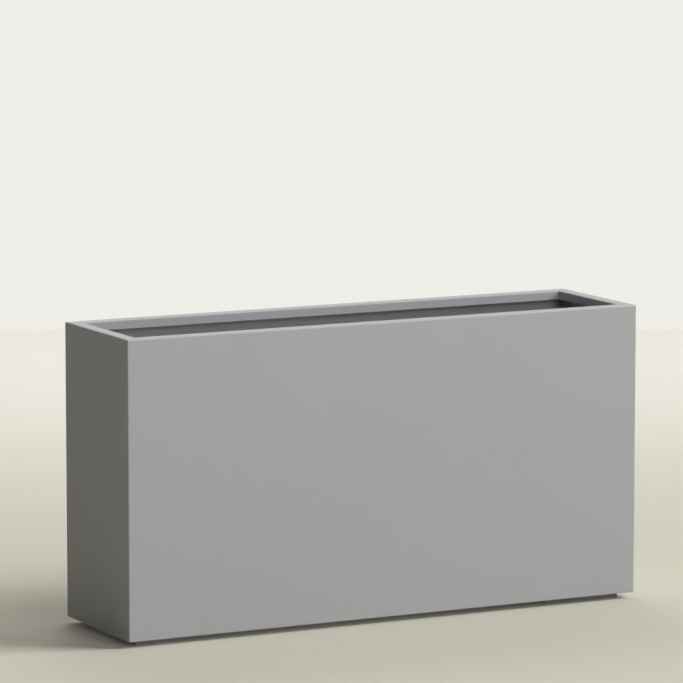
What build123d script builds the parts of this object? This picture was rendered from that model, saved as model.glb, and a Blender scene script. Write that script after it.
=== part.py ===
from build123d import *
from math import atan, degrees
import os

# A rectangular floor planter folded from sheet steel, in millimetres. +Z is up, the length lies
# along X and the front faces -Y. The origin is on the floor, under the middle of the planter.

# Outer size of the shell, and the height of the skids that it stands on
length = 1168.4
width = 304.8
shell_height = 609.6
skid_height = 12.7

# Sheet metal and its folds
sheet = 2.0
fold_radius = 0.5
bend_radius = 4.0
tray_corner = 6.0
rim_width = 30.0
rim_drop = 18.0
base_return = 50.0

# Floor pan, its drain sumps and the sealant bead above it
pan_clearance = 0.3
pan_depth = 30.0
sump_depth = 5.0
sump_floor_radius = 26.0
sump_slope = 8.0
drain_radius = 12.5
drain_spacing = 290.0
seal_height = 5.0
seal_tip = 0.4

# Inside reinforcement
corner_width = 22.0
corner_gap = 3.0
gusset_length = 90.0
gusset_clearance = 1.0
weld_relief = 4.0
gusset_corner = 12.0
rail_width = 50.0
rail_depth = 30.0
rail_setback = 10.0
tab_width = 18.0
tab_corner = 3.0

# Lift-out shelves, side by side through the rim
shelf_names = ["left_shelf", "middle_shelf", "right_shelf"]
shelf_depth = 250.0
shelf_gap = 3.0
shelf_clearance = 3.0
shelf_edge = 15.0
hand_slot_length = 90.0
hand_slot_width = 24.0
hand_slot_spacing = 200.0
vent_length = 44.0
vent_width = 10.0
vent_pitch_x = 54.0
vent_pitch_y = 40.0
vent_columns = 3
vent_rows = 4

# Skids
skid_length = 175.0
skid_inset = 25.4
skid_corner = 3.0
skid_chamfer = 1.0

# Fasteners, with the shares of a height or radius that their bevels take
dome_share = 0.6
tip_chamfer = 0.2
thread_radius = 3.0
thread_clearance = 0.3
thread_fit = 0.05
stud_length = 14.0
nut_flats = 10.0
nut_height = 5.0
nut_flange_radius = 6.5
nut_flange_height = 1.2
screw_head_radius = 5.8
screw_head_height = 3.6
screw_head_recess = 1.4
screw_end = 3.0
counterbore_clearance = 0.7
screw_inset = 39.0
rivet_radius = 2.4
rivet_fit = 0.05
rivet_head_radius = 4.8
rivet_head_height = 1.5
rivet_tail_radius = 3.6
rivet_tail_height = 3.0
rivets_along = 7
rivets_across = 2
rivet_end_inset = 74.0
rivet_side_inset = 102.0

# Rubber drain plugs
plug_names = ["drain_plug_left", "drain_plug_middle", "drain_plug_right"]
plug_clearance = 0.3
plug_head_radius = 18.0
plug_head_height = 3.5
plug_head_rounding = 2.5
plug_stem_length = 8.0
plug_stem_taper = 1.5
plug_tab_width = 18.0
plug_tab_height = 18.0
plug_tab_thickness = 4.0
plug_tab_hole_radius = 4.0

# The shell's folds are sharp: a small radius inside, and the sheet's thickness more outside
edge_radius = fold_radius + sheet

# Levels, from the floor up
shell_bottom = skid_height
pan_bottom = shell_bottom + sheet
pan_top = pan_bottom + sheet
pan_edge = pan_bottom + pan_depth
seal_top = pan_edge + seal_height
rim_top = shell_bottom + shell_height
rim_under = rim_top - sheet
gusset_under = rim_under - sheet
rail_top = rim_top - shelf_depth - sheet

# Spans inside the shell and through the rim
inner_length = length - 2 * sheet
inner_width = width - 2 * sheet
mouth_length = length - 2 * rim_width
mouth_width = width - 2 * rim_width
pan_length = inner_length - 2 * pan_clearance
pan_width = inner_width - 2 * pan_clearance
skid_width = width - 2 * skid_inset

# Shelves share the mouth's length, and rails lie under the joints between them and under both ends
shelf_count = len(shelf_names)
shelf_run = mouth_length - 2 * shelf_clearance
shelf_length = (shelf_run - (shelf_count - 1) * shelf_gap) / shelf_count
shelf_width = mouth_width - 2 * shelf_clearance
shelf_pitch = shelf_length + shelf_gap
shelf_places = [(i - (shelf_count - 1) / 2) * shelf_pitch for i in range(shelf_count)]
shelf_joints = [x + shelf_pitch / 2 for x in shelf_places[:-1]]
outer_rail = shelf_run / 2 - rail_setback - rail_width / 2
rail_places = [-outer_rail, *shelf_joints, outer_rail]
tab_height = rail_depth - bend_radius
tab_middle = rail_top - rail_depth + tab_height / 2
stud_offset = (rail_width + tab_width) / 2
stud_places = [
    (x + side * stud_offset, tab_middle)
    for x in rail_places
    for side in (-1, 1)
]

# Screws pass where the skids lie under the long walls' base returns
skid_middle = length / 2 - skid_inset - skid_length / 2
screw_reach = skid_length / 2 - screw_inset
screw_line = width / 2 - (base_return + skid_inset) / 2
screw_places = [
    (side * skid_middle + end * screw_reach, row * screw_line)
    for side in (-1, 1)
    for end in (-1, 1)
    for row in (-1, 1)
]

# Rivets run between the pan's turned-up edge and the skids
rivet_inset = (2 * sheet + pan_clearance + skid_inset) / 2
rivet_pitch_along = (length - 2 * rivet_end_inset) / (rivets_along - 1)
rivet_pitch_across = (width - 2 * rivet_side_inset) / (rivets_across - 1)
rivet_rows = [
    (rivet_end_inset - length / 2 + column * rivet_pitch_along, row * (width / 2 - rivet_inset))
    for column in range(rivets_along)
    for row in (-1, 1)
]
rivet_ends = [
    (end * (length / 2 - rivet_inset), rivet_side_inset - width / 2 + row * rivet_pitch_across)
    for end in (-1, 1)
    for row in range(rivets_across)
]
rivet_places = rivet_rows + rivet_ends
drain_count = len(plug_names)
drain_places = [((i - (drain_count - 1) / 2) * drain_spacing, 0) for i in range(drain_count)]

os.makedirs("parts", exist_ok=True)


def save(piece, label):
    """Labels a finished piece and writes it to its own file."""
    piece.label = label
    export_step(piece, f"parts/{label}.step")


# Hollow of the shell, rounded like the inside of its folds
with BuildPart() as hollow:
    with BuildSketch(Plane.XY.offset(pan_bottom)):
        Rectangle(inner_length, inner_width)
    extrude(amount=shell_height - 2 * sheet)
    fillet(hollow.edges(), fold_radius)

# The whole folded shell: walls, rim turned in and down, and base turned in under the pan
with BuildPart() as shell:
    with BuildSketch(Plane.XY.offset(shell_bottom)):
        Rectangle(length, width)
    extrude(amount=shell_height)
    fillet(shell.edges(), edge_radius)
    add(hollow.part, mode=Mode.SUBTRACT)
    with BuildSketch(Plane.XY.offset(shell_bottom)):
        Rectangle(length - 2 * base_return, width - 2 * base_return)
        with Locations(*screw_places):
            Circle(thread_radius + thread_clearance)
        with Locations(*rivet_places):
            Circle(rivet_radius + rivet_fit)
    extrude(amount=sheet, mode=Mode.SUBTRACT)
    with BuildSketch(Plane.XY.offset(rim_top - rim_drop)):
        Rectangle(mouth_length + 2 * sheet, mouth_width + 2 * sheet)
    extrude(amount=rim_drop - sheet)
    with BuildSketch(Plane.XY.offset(rim_top)):
        Rectangle(mouth_length, mouth_width)
    extrude(amount=-rim_drop, mode=Mode.SUBTRACT)
    rim_face = shell.faces().sort_by(Axis.Z)[-1]
    fillet(rim_face.inner_wires()[0].edges(), edge_radius)
    level_faces = shell.faces().filter_by(Plane.XY)
    underside_faces = level_faces.filter_by_position(Axis.Z, rim_under - sheet / 2, rim_under + sheet / 2)
    rim_underside = underside_faces[0]
    fillet(rim_underside.inner_wires()[0].edges(), fold_radius)

# Mitre planes through the four upright corners, each facing the long wall beside it
front_left_mitre = Plane(origin=(-length / 2, -width / 2, 0), z_dir=(1, -1, 0))
front_right_mitre = Plane(origin=(length / 2, -width / 2, 0), z_dir=(-1, -1, 0))
back_left_mitre = Plane(origin=(-length / 2, width / 2, 0), z_dir=(1, 1, 0))

# Front wall, and the back wall as its mirror image
with BuildPart() as front_panel:
    add(shell.part)
    split(bisect_by=front_left_mitre, keep=Keep.TOP)
    split(bisect_by=front_right_mitre, keep=Keep.TOP)
    split(bisect_by=Plane.XZ, keep=Keep.TOP)
save(front_panel.part, "front_panel")

with BuildPart() as back_panel:
    mirror(front_panel.part, about=Plane.XZ)
save(back_panel.part, "back_panel")

# Left end wall, and the right end wall as its mirror image
with BuildPart() as left_end_panel:
    add(shell.part)
    split(bisect_by=front_left_mitre, keep=Keep.BOTTOM)
    split(bisect_by=back_left_mitre, keep=Keep.BOTTOM)
    split(bisect_by=Plane.YZ, keep=Keep.BOTTOM)
save(left_end_panel.part, "left_end_panel")

with BuildPart() as right_end_panel:
    mirror(left_end_panel.part, about=Plane.YZ)
save(right_end_panel.part, "right_end_panel")

# Floor pan: a tray with drawn sumps round its drain holes
with BuildPart() as floor_pan:
    with BuildSketch(Plane.XY.offset(pan_bottom)):
        RectangleRounded(pan_length, pan_width, tray_corner)
    extrude(amount=pan_depth)
    fillet(floor_pan.faces().sort_by(Axis.Z)[0].edges(), bend_radius)
    offset(amount=-sheet, openings=floor_pan.faces().sort_by(Axis.Z)[-1])
    with Locations(*[(x, y, pan_bottom) for x, y in drain_places]):
        Cone(
            sump_floor_radius,
            sump_floor_radius + sump_slope,
            sump_depth,
            align=(Align.CENTER, Align.CENTER, Align.MAX),
        )
    with Locations(*[(x, y, pan_top) for x, y in drain_places]):
        Cone(
            sump_floor_radius,
            sump_floor_radius + sump_slope,
            sump_depth,
            align=(Align.CENTER, Align.CENTER, Align.MAX),
            mode=Mode.SUBTRACT,
        )
    with BuildSketch(Plane.XY.offset(pan_top)):
        with Locations(*drain_places):
            Circle(drain_radius)
        with Locations(*screw_places):
            Circle(thread_radius + thread_clearance)
        with Locations(*rivet_places):
            Circle(rivet_radius + rivet_fit)
    extrude(amount=-(sheet + sump_depth), mode=Mode.SUBTRACT)
save(floor_pan.part, "floor_pan")

# Sealant bead along the top of the pan's turned-up edge, running out against the walls
seal_width = pan_clearance + sheet
with BuildPart() as floor_seal:
    with BuildSketch(Plane.XY.offset(pan_edge)):
        RectangleRounded(inner_length, inner_width, fold_radius)
    extrude(amount=seal_height)
    with BuildSketch(Plane.XY.offset(pan_edge)):
        Rectangle(inner_length - 2 * seal_width, inner_width - 2 * seal_width)
    extrude(
        amount=seal_height,
        taper=-degrees(atan((seal_width - seal_tip) / seal_height)),
        mode=Mode.SUBTRACT,
    )
save(floor_seal.part, "floor_seal")

# Blind rivets: low coned head on the pan, shank through both sheets, set tail below
with BuildPart() as floor_rivets:
    with BuildSketch(Plane.XY.offset(pan_top)):
        with Locations(*rivet_places):
            Circle(rivet_head_radius)
    extrude(amount=rivet_head_height)
    chamfer(
        floor_rivets.faces().group_by(Axis.Z)[-1].edges(),
        rivet_head_height * dome_share,
        rivet_head_radius * dome_share,
    )
    with BuildSketch(Plane.XY.offset(pan_top)):
        with Locations(*rivet_places):
            Circle(rivet_radius)
    extrude(amount=-2 * sheet)
    with BuildSketch(Plane.XY.offset(shell_bottom)):
        with Locations(*rivet_places):
            Circle(rivet_tail_radius)
    extrude(amount=-rivet_tail_height)
    chamfer(floor_rivets.faces().group_by(Axis.Z)[0].edges(), rivet_tail_height * tip_chamfer)
save(floor_rivets.part, "floor_rivets")

# Upright angle inside the front left corner, and flat gusset under the rim's front left mitre
inner_corner = (-inner_length / 2, -inner_width / 2)
corner_bottom = seal_top + corner_gap
with BuildPart() as corner_angle:
    with BuildSketch(Plane.XY.offset(corner_bottom)) as angle_section:
        with Locations(inner_corner):
            Rectangle(corner_width, corner_width, align=Align.MIN)
        with Locations((inner_corner[0] + sheet, inner_corner[1] + sheet)):
            Rectangle(corner_width, corner_width, align=Align.MIN, mode=Mode.SUBTRACT)
        fillet(angle_section.vertices().sort_by_distance(inner_corner)[1], bend_radius - sheet)
        fillet(angle_section.vertices().sort_by_distance(inner_corner)[0], bend_radius)
    extrude(amount=gusset_under - corner_bottom)

gusset_width = rim_width - 2 * sheet - 2 * gusset_clearance
gusset_outer = (inner_corner[0] + gusset_clearance, inner_corner[1] + gusset_clearance)
with BuildPart() as rim_gusset:
    with BuildSketch(Plane.XY.offset(gusset_under)) as gusset_outline:
        with Locations(gusset_outer):
            Rectangle(gusset_length, gusset_width, align=Align.MIN)
            Rectangle(gusset_width, gusset_length, align=Align.MIN)
        free_corners = [
            gusset_outline.vertices().group_by(Axis.X)[-1].sort_by(Axis.Y)[-1],
            gusset_outline.vertices().group_by(Axis.Y)[-1].sort_by(Axis.X)[-1],
        ]
        fillet(free_corners, gusset_corner)
        chamfer(gusset_outline.vertices().sort_by_distance(inner_corner)[0], weld_relief)
    extrude(amount=sheet)

# Each corner holds a mirror image of both
corner_mirrors = {
    "front_left": [],
    "front_right": [Plane.YZ],
    "back_left": [Plane.XZ],
    "back_right": [Plane.YZ, Plane.XZ],
}
for corner, mirrors in corner_mirrors.items():
    for name, piece in (("corner_angle", corner_angle.part), ("rim_gusset", rim_gusset.part)):
        for plane in mirrors:
            piece = mirror(piece, about=plane)
        save(piece, f"{name}_{corner}")

# Cross rails: channels open below, with their side webs folded out into tabs at both walls
front_wall_plane = Plane.XZ.offset(inner_width / 2)
for number, rail_x in enumerate(rail_places, 1):
    with BuildPart() as cross_rail:
        with BuildSketch(Plane.XZ) as rail_section:
            with Locations((rail_x, rail_top)):
                Rectangle(rail_width, rail_depth, align=(Align.CENTER, Align.MAX))
            fillet(rail_section.vertices().group_by(Axis.Y)[-1], bend_radius)
            with Locations((rail_x, rail_top - rail_depth)):
                Rectangle(
                    rail_width - 2 * sheet,
                    rail_depth - sheet,
                    align=(Align.CENTER, Align.MIN),
                    mode=Mode.SUBTRACT,
                )
        extrude(amount=inner_width / 2)
        with BuildSketch(front_wall_plane) as tab_outline:
            for side in (-1, 1):
                with Locations((rail_x + side * stud_offset, tab_middle)):
                    Rectangle(tab_width, tab_height)
            outer_corners = tab_outline.vertices().group_by(Axis.X)
            fillet(outer_corners[0] + outer_corners[-1], tab_corner)
            for side in (-1, 1):
                with Locations((rail_x + side * stud_offset, tab_middle)):
                    Circle(thread_radius + thread_clearance, mode=Mode.SUBTRACT)
        extrude(amount=-sheet)
        mirror(about=Plane.XZ)
    save(cross_rail.part, f"cross_rail_{number}")

# Weld studs on the inside of both long walls, and the flange nuts that clamp the tabs
with BuildPart() as rail_studs:
    with BuildSketch(front_wall_plane):
        with Locations(*stud_places):
            Circle(thread_radius)
    extrude(amount=-stud_length)
    chamfer(rail_studs.faces().group_by(Axis.Y)[-1].edges(), thread_radius * tip_chamfer)
    mirror(about=Plane.XZ)
save(rail_studs.part, "rail_studs")


def flange_nuts(seat, places):
    """Hexagon flange nuts standing on a seat plane, one round each place."""
    with BuildPart() as nuts:
        with BuildSketch(seat):
            with Locations(*places):
                Circle(nut_flange_radius)
        extrude(amount=nut_flange_height)
        with BuildSketch(seat):
            with Locations(*places):
                RegularPolygon(nut_flats / 2, 6, major_radius=False)
        extrude(amount=nut_height)
        with BuildSketch(seat):
            with Locations(*places):
                Circle(thread_radius + thread_fit)
        extrude(amount=nut_height, mode=Mode.SUBTRACT)
    return nuts.part


tab_face = Plane(origin=(0, -inner_width / 2 + sheet, 0), x_dir=(-1, 0, 0), z_dir=(0, 1, 0))
front_rail_nuts = flange_nuts(tab_face, [(-x, z) for x, z in stud_places])
with BuildPart() as rail_nuts:
    add(front_rail_nuts)
    mirror(about=Plane.XZ)
save(rail_nuts.part, "rail_nuts")

# Left skid with counterbores for its screws, and the right skid as its mirror image
with BuildPart() as left_skid:
    with BuildSketch():
        with Locations((-skid_middle, 0)):
            RectangleRounded(skid_length, skid_width, skid_corner)
    extrude(amount=skid_height)
    chamfer(left_skid.faces().sort_by(Axis.Z)[0].edges(), skid_chamfer)
    with Locations(*[Plane(origin=(x, y, 0), z_dir=(0, 0, -1)) for x, y in screw_places if x < 0]):
        CounterBoreHole(
            thread_radius + thread_clearance,
            screw_head_radius + counterbore_clearance,
            screw_head_recess + screw_head_height,
        )
save(left_skid.part, "left_skid")

with BuildPart() as right_skid:
    mirror(left_skid.part, about=Plane.YZ)
save(right_skid.part, "right_skid")

# Screws up through skids, base returns and pan, and the nuts on the pan
screw_seat = screw_head_recess + screw_head_height
screw_tip = pan_top + nut_height + screw_end
with BuildPart() as skid_screws:
    with BuildSketch(Plane.XY.offset(screw_head_recess)):
        with Locations(*screw_places):
            Circle(screw_head_radius)
    extrude(amount=screw_head_height)
    chamfer(skid_screws.faces().group_by(Axis.Z)[0].edges(), screw_head_height * tip_chamfer)
    with BuildSketch(Plane.XY.offset(screw_seat)):
        with Locations(*screw_places):
            Circle(thread_radius)
    extrude(amount=screw_tip - screw_seat)
    chamfer(skid_screws.faces().group_by(Axis.Z)[-1].edges(), thread_radius * tip_chamfer)
save(skid_screws.part, "skid_screws")

skid_nuts = flange_nuts(Plane.XY.offset(pan_top), screw_places)
save(skid_nuts, "skid_nuts")

# Lift-out shelves: shallow trays with drainage slots and two hand holes
for label, shelf_x in zip(shelf_names, shelf_places):
    with BuildPart() as shelf:
        with BuildSketch(Plane.XY.offset(rail_top)):
            with Locations((shelf_x, 0)):
                RectangleRounded(shelf_length, shelf_width, tray_corner)
        extrude(amount=shelf_edge)
        fillet(shelf.faces().sort_by(Axis.Z)[0].edges(), bend_radius)
        offset(amount=-sheet, openings=shelf.faces().sort_by(Axis.Z)[-1])
        with BuildSketch(Plane.XY.offset(rail_top)):
            with Locations((shelf_x, 0)):
                with GridLocations(vent_pitch_x, vent_pitch_y, vent_columns, vent_rows):
                    SlotOverall(vent_length, vent_width)
                with GridLocations(hand_slot_spacing, 0, 2, 1):
                    SlotOverall(hand_slot_length, hand_slot_width, rotation=90)
        extrude(amount=sheet, mode=Mode.SUBTRACT)
    save(shelf.part, label)

# Drain plugs: a flat head on the sump's floor, a tapered stem in the hole and a pull tab on top
plug_seat = pan_top - sump_depth
plug_radius = drain_radius - plug_clearance
for label, (plug_x, plug_y) in zip(plug_names, drain_places):
    with BuildPart() as drain_plug:
        with BuildSketch(Plane.XY.offset(plug_seat)):
            with Locations((plug_x, plug_y)):
                Circle(plug_head_radius)
        extrude(amount=plug_head_height)
        fillet(drain_plug.faces().sort_by(Axis.Z)[-1].edges(), plug_head_rounding)
        with Locations((plug_x, plug_y, plug_seat)):
            Cone(
                plug_radius - plug_stem_taper,
                plug_radius,
                plug_stem_length,
                align=(Align.CENTER, Align.CENTER, Align.MAX),
            )
        with BuildSketch(Plane.XZ):
            with Locations((plug_x, plug_seat + plug_head_height + plug_tab_height / 2)):
                SlotOverall(plug_tab_height + plug_tab_width / 2, plug_tab_width, rotation=90)
                Circle(plug_tab_hole_radius, mode=Mode.SUBTRACT)
        extrude(amount=plug_tab_thickness / 2, both=True)
    save(drain_plug.part, label)
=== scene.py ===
import math

import bmesh
import bpy
from bpy.props import FloatProperty, FloatVectorProperty, IntProperty, PointerProperty
from mathutils import Matrix, Vector


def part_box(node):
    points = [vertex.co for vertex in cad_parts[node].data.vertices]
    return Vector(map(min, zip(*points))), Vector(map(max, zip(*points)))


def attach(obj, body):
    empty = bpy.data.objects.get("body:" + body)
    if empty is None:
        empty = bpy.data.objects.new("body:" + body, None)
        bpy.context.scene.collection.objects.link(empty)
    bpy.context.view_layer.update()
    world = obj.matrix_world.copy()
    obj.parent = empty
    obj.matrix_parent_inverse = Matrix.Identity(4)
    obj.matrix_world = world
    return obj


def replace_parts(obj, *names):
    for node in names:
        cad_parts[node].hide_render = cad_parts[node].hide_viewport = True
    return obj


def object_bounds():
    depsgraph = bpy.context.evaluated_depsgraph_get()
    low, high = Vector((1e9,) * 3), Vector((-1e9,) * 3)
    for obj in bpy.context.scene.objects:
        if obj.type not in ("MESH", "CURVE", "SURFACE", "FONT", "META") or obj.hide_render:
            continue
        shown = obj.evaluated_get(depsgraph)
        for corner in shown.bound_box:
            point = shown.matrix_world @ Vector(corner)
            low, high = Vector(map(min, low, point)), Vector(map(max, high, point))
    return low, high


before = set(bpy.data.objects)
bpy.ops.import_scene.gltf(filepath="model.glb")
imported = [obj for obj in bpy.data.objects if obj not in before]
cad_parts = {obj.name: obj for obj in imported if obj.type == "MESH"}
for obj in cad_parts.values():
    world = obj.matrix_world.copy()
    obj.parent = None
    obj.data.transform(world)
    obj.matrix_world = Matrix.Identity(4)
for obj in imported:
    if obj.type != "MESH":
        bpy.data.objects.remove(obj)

bl_info = {
    "name": "Rectangular Planter Finish",
    "version": (1, 0, 0),
    "blender": (4, 5, 0),
    "location": "View3D > Sidebar > Planter",
    "description": "Powder coat, hardware, shelves and studio for a long sheet steel floor planter",
    "category": "Object",
}

# The frame's own box, before anything is added
cad_low, cad_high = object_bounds()
# The point that the lamps face
middle = Vector((0.0, 0.0, 0.35))
# Names in the frame
planter = "planter"
corners = ["front_left", "front_right", "back_left", "back_right"]
rails = ["cross_rail_1", "cross_rail_2", "cross_rail_3", "cross_rail_4"]
shelves = ["left_shelf", "middle_shelf", "right_shelf"]
plugs = ["drain_plug_left", "drain_plug_middle", "drain_plug_right"]
millimetre = 0.001
# Plain end past a thread's last turn
thread_tip = 0.4 * millimetre


# Sizes and colours that a user would change


class PaintSettings(bpy.types.PropertyGroup):
    """Powder coat on the folded sheet steel."""

    color: FloatVectorProperty(
        name="Color", description="Colour of the powder coat", subtype="COLOR", size=3,
        default=(0.330, 0.334, 0.346), min=0.0, max=1.0,
    )
    roughness: FloatProperty(
        name="Roughness", description="Satin level of the coat", default=0.46, min=0.0, max=1.0,
    )
    mottle: FloatProperty(
        name="Mottle", description="Broad uneven tone of the coat", default=0.035, min=0.0, max=1.0,
    )
    peel_size: FloatProperty(
        name="Peel size", description="Width of one orange peel ripple", unit="LENGTH", default=0.0022,
    )
    peel_depth: FloatProperty(
        name="Peel depth", description="Depth of the orange peel", unit="LENGTH", default=0.00002,
    )
    # Width of the lighter line along the outer edges: worn paint and a painted highlight
    edge_width: FloatProperty(
        name="Edge width", description="Width of the rubbed line along the outer edges",
        unit="LENGTH", default=0.004,
    )


class HardwareSettings(bpy.types.PropertyGroup):
    """Zinc plated fasteners and welds."""

    zinc: FloatVectorProperty(
        name="Zinc", description="Colour of the zinc plate", subtype="COLOR", size=3,
        default=(0.62, 0.62, 0.60), min=0.0, max=1.0,
    )
    pitch: FloatProperty(
        name="Thread pitch", description="Pitch of the M6 threads", unit="LENGTH", default=0.001,
    )
    thread_depth: FloatProperty(
        name="Thread depth", description="Depth of the M6 threads", unit="LENGTH", default=0.00055,
    )
    socket: FloatProperty(
        name="Socket", description="Width across the flats of the screws' sockets",
        unit="LENGTH", default=0.004,
    )
    socket_depth: FloatProperty(
        name="Socket depth", description="Depth of the screws' sockets", unit="LENGTH", default=0.0022,
    )
    head_height: FloatProperty(
        name="Head height", description="Height of the screws' heads", unit="LENGTH", default=0.0036,
    )
    nut_bore: FloatProperty(
        name="Nut bore", description="Radius of the nuts' bores", unit="LENGTH", default=0.00305,
    )
    nut_flats: FloatProperty(
        name="Nut flats", description="Width across the flats of the nuts", unit="LENGTH", default=0.010,
    )
    nut_flange: FloatProperty(
        name="Nut flange", description="Thickness of the nuts' flanges", unit="LENGTH", default=0.0012,
    )
    rivet_shank: FloatProperty(
        name="Rivet shank", description="Radius of the rivets", unit="LENGTH", default=0.0024,
    )
    rivet_pin: FloatProperty(
        name="Rivet pin", description="Radius of the rivets' pulled pins", unit="LENGTH", default=0.0012,
    )
    rivet_head: FloatProperty(
        name="Rivet head", description="Height of the rivets' heads", unit="LENGTH", default=0.0015,
    )
    weld_leg: FloatProperty(
        name="Weld leg", description="Leg of the fillet welds", unit="LENGTH", default=0.002,
    )
    stitches: IntProperty(
        name="Stitches", description="Weld stitches up each leg of a corner angle", default=5, min=2, max=12,
    )
    stitch_length: FloatProperty(
        name="Stitch length", description="Length of one weld stitch", unit="LENGTH", default=0.025,
    )
    facets: IntProperty(
        name="Facets", description="Sides of the round hardware", default=48, min=24, max=96,
    )


class SheetSettings(bpy.types.PropertyGroup):
    """Galvanised shelves, skids, sealant and plugs."""

    galvanised: FloatVectorProperty(
        name="Galvanised", description="Colour of the galvanised sheet", subtype="COLOR", size=3,
        default=(0.55, 0.56, 0.57), min=0.0, max=1.0,
    )
    spangle: FloatProperty(
        name="Spangle", description="Width of one zinc crystal", unit="LENGTH", default=0.011,
    )
    board: FloatVectorProperty(
        name="Board", description="Colour of the skids' moulded board", subtype="COLOR", size=3,
        default=(0.22, 0.22, 0.22), min=0.0, max=1.0,
    )
    sealant: FloatVectorProperty(
        name="Sealant", description="Colour of the sealant bead", subtype="COLOR", size=3,
        default=(0.16, 0.16, 0.16), min=0.0, max=1.0,
    )
    rubber: FloatVectorProperty(
        name="Rubber", description="Colour of the drain plugs", subtype="COLOR", size=3,
        default=(0.03, 0.03, 0.03), min=0.0, max=1.0,
    )


class StageSettings(bpy.types.PropertyGroup):
    """Floor, backdrop, lamps and camera."""

    yaw: FloatProperty(
        name="Yaw", description="Turn of the camera from the front wall's normal", subtype="ANGLE",
        default=math.radians(27.185),
    )
    pitch: FloatProperty(
        name="Pitch", description="Camera's look down", subtype="ANGLE", default=math.radians(7.939),
    )
    aim: FloatVectorProperty(
        name="Aim", description="Point on the camera's axis", subtype="TRANSLATION", size=3,
        default=(-0.0070, 0.0446, 0.5586),
    )
    distance: FloatProperty(
        name="Distance", description="From the camera to its aim", unit="LENGTH", default=9.942,
    )
    lens: FloatProperty(name="Lens", description="Focal length in millimetres", default=253.14)
    # The floor's colour carries a painted light gradient: darker in front, paler towards the backdrop and to
    # the left
    near_floor_with_painted_light: FloatVectorProperty(
        name="Near floor", description="Floor colour in front of the planter", subtype="COLOR",
        size=3, default=(0.530, 0.512, 0.430), min=0.0, max=1.0,
    )
    far_floor_with_painted_light: FloatVectorProperty(
        name="Far floor", description="Floor colour at the backdrop", subtype="COLOR",
        size=3, default=(0.80, 0.777, 0.725), min=0.0, max=1.0,
    )
    backdrop: FloatVectorProperty(
        name="Backdrop", description="Colour of the backdrop", subtype="COLOR",
        size=3, default=(0.863, 0.853, 0.807), min=0.0, max=1.0,
    )
    floor_painted_light_tilt: FloatProperty(
        name="Floor tilt", description="How much paler the floor is one metre to the left", default=0.09,
    )
    key_power: FloatProperty(name="Key", description="Power of the key lamp in watts", default=1610.0)
    fill_power: FloatProperty(name="Fill", description="Power of the fill lamp in watts", default=70.0)
    side_power: FloatProperty(name="Side", description="Power of the left side lamp in watts", default=4.0)
    back_power: FloatProperty(name="Back", description="Power of the lamp behind in watts", default=48.0)
    under_power: FloatProperty(
        name="Under", description="Power of the lamp under the floor in watts", default=14.0,
    )
    ambient: FloatProperty(name="Ambient", description="Strength of the world", default=0.05)


# Node helpers


def put(tree, kind, **values):
    """Adds a node, with its settings as words."""
    node = tree.nodes.new(kind)
    for name, value in values.items():
        setattr(node, name, value)
    return node


def math_of(tree, operation, a, b=None, c=None, clamp=False):
    """A Math node on sockets or numbers, and its output."""
    node = put(tree, "ShaderNodeMath", operation=operation, use_clamp=clamp)
    for socket, value in zip(node.inputs, (a, b, c)):
        if value is None:
            continue
        if isinstance(value, (int, float)):
            socket.default_value = value
        else:
            tree.links.new(value, socket)
    return node.outputs[0]


def vector_of(tree, operation, first, second=None):
    """A Vector Math node on sockets, and its output."""
    node = put(tree, "ShaderNodeVectorMath", operation=operation)
    for socket, value in zip(node.inputs, (first, second)):
        if value is not None:
            tree.links.new(value, socket)
    return node.outputs[0]


def scaled(tree, vector, gain):
    """A colour or a vector times a socket's number."""
    node = put(tree, "ShaderNodeVectorMath", operation="SCALE")
    tree.links.new(vector, node.inputs[0])
    tree.links.new(gain, node.inputs["Scale"])
    return node.outputs[0]


def ramp(tree, value, low, high, out_low=0.0, out_high=1.0):
    """Maps a value from one range to another, smoothly and clamped."""
    node = put(tree, "ShaderNodeMapRange", interpolation_type="SMOOTHSTEP")
    tree.links.new(value, node.inputs[0])
    for socket, number in zip(list(node.inputs)[1:5], (low, high, out_low, out_high)):
        socket.default_value = number
    return node.outputs[0]


def blend_colors(tree, share, first, second):
    """A Mix node for colours, and its output."""
    node = put(tree, "ShaderNodeMix", data_type="RGBA")
    for name, value in (("Factor_Float", share), ("A_Color", first), ("B_Color", second)):
        socket = next(s for s in node.inputs if s.identifier == name)
        if isinstance(value, (tuple, list)):
            socket.default_value = (*value[:3], 1.0)
        else:
            tree.links.new(value, socket)
    return next(s for s in node.outputs if s.identifier == "Result_Color")


def new_group(name, inputs, outputs):
    """An empty shader group with its sockets: the tree, its input node and its output node."""
    tree = bpy.data.node_groups.new(name, "ShaderNodeTree")
    for label, kind, value in inputs:
        socket = tree.interface.new_socket(name=label, in_out="INPUT", socket_type=kind)
        socket.default_value = value
    for label, kind in outputs:
        tree.interface.new_socket(name=label, in_out="OUTPUT", socket_type=kind)
    return tree, tree.nodes.new("NodeGroupInput"), tree.nodes.new("NodeGroupOutput")


def place(tree, name, **values):
    """Places a built group in a material, with its own values."""
    node = tree.nodes.new("ShaderNodeGroup")
    node.node_tree = bpy.data.node_groups[name]
    for label, value in values.items():
        node.inputs[label.replace("_", " ").title()].default_value = value
    return node


def noise_at(tree, vector, scale, detail=2.0, roughness=0.5):
    """Noise on a vector, and its value."""
    node = put(tree, "ShaderNodeTexNoise", noise_dimensions="3D")
    node.inputs["Detail"].default_value = detail
    node.inputs["Roughness"].default_value = roughness
    if isinstance(scale, (int, float)):
        node.inputs["Scale"].default_value = scale
    else:
        tree.links.new(scale, node.inputs["Scale"])
    tree.links.new(vector, node.inputs["Vector"])
    return node.outputs["Fac"]


def object_point(tree):
    """The surface point in the piece's own coordinates."""
    return put(tree, "ShaderNodeTexCoord").outputs["Object"]


# Shared surface effects


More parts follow.
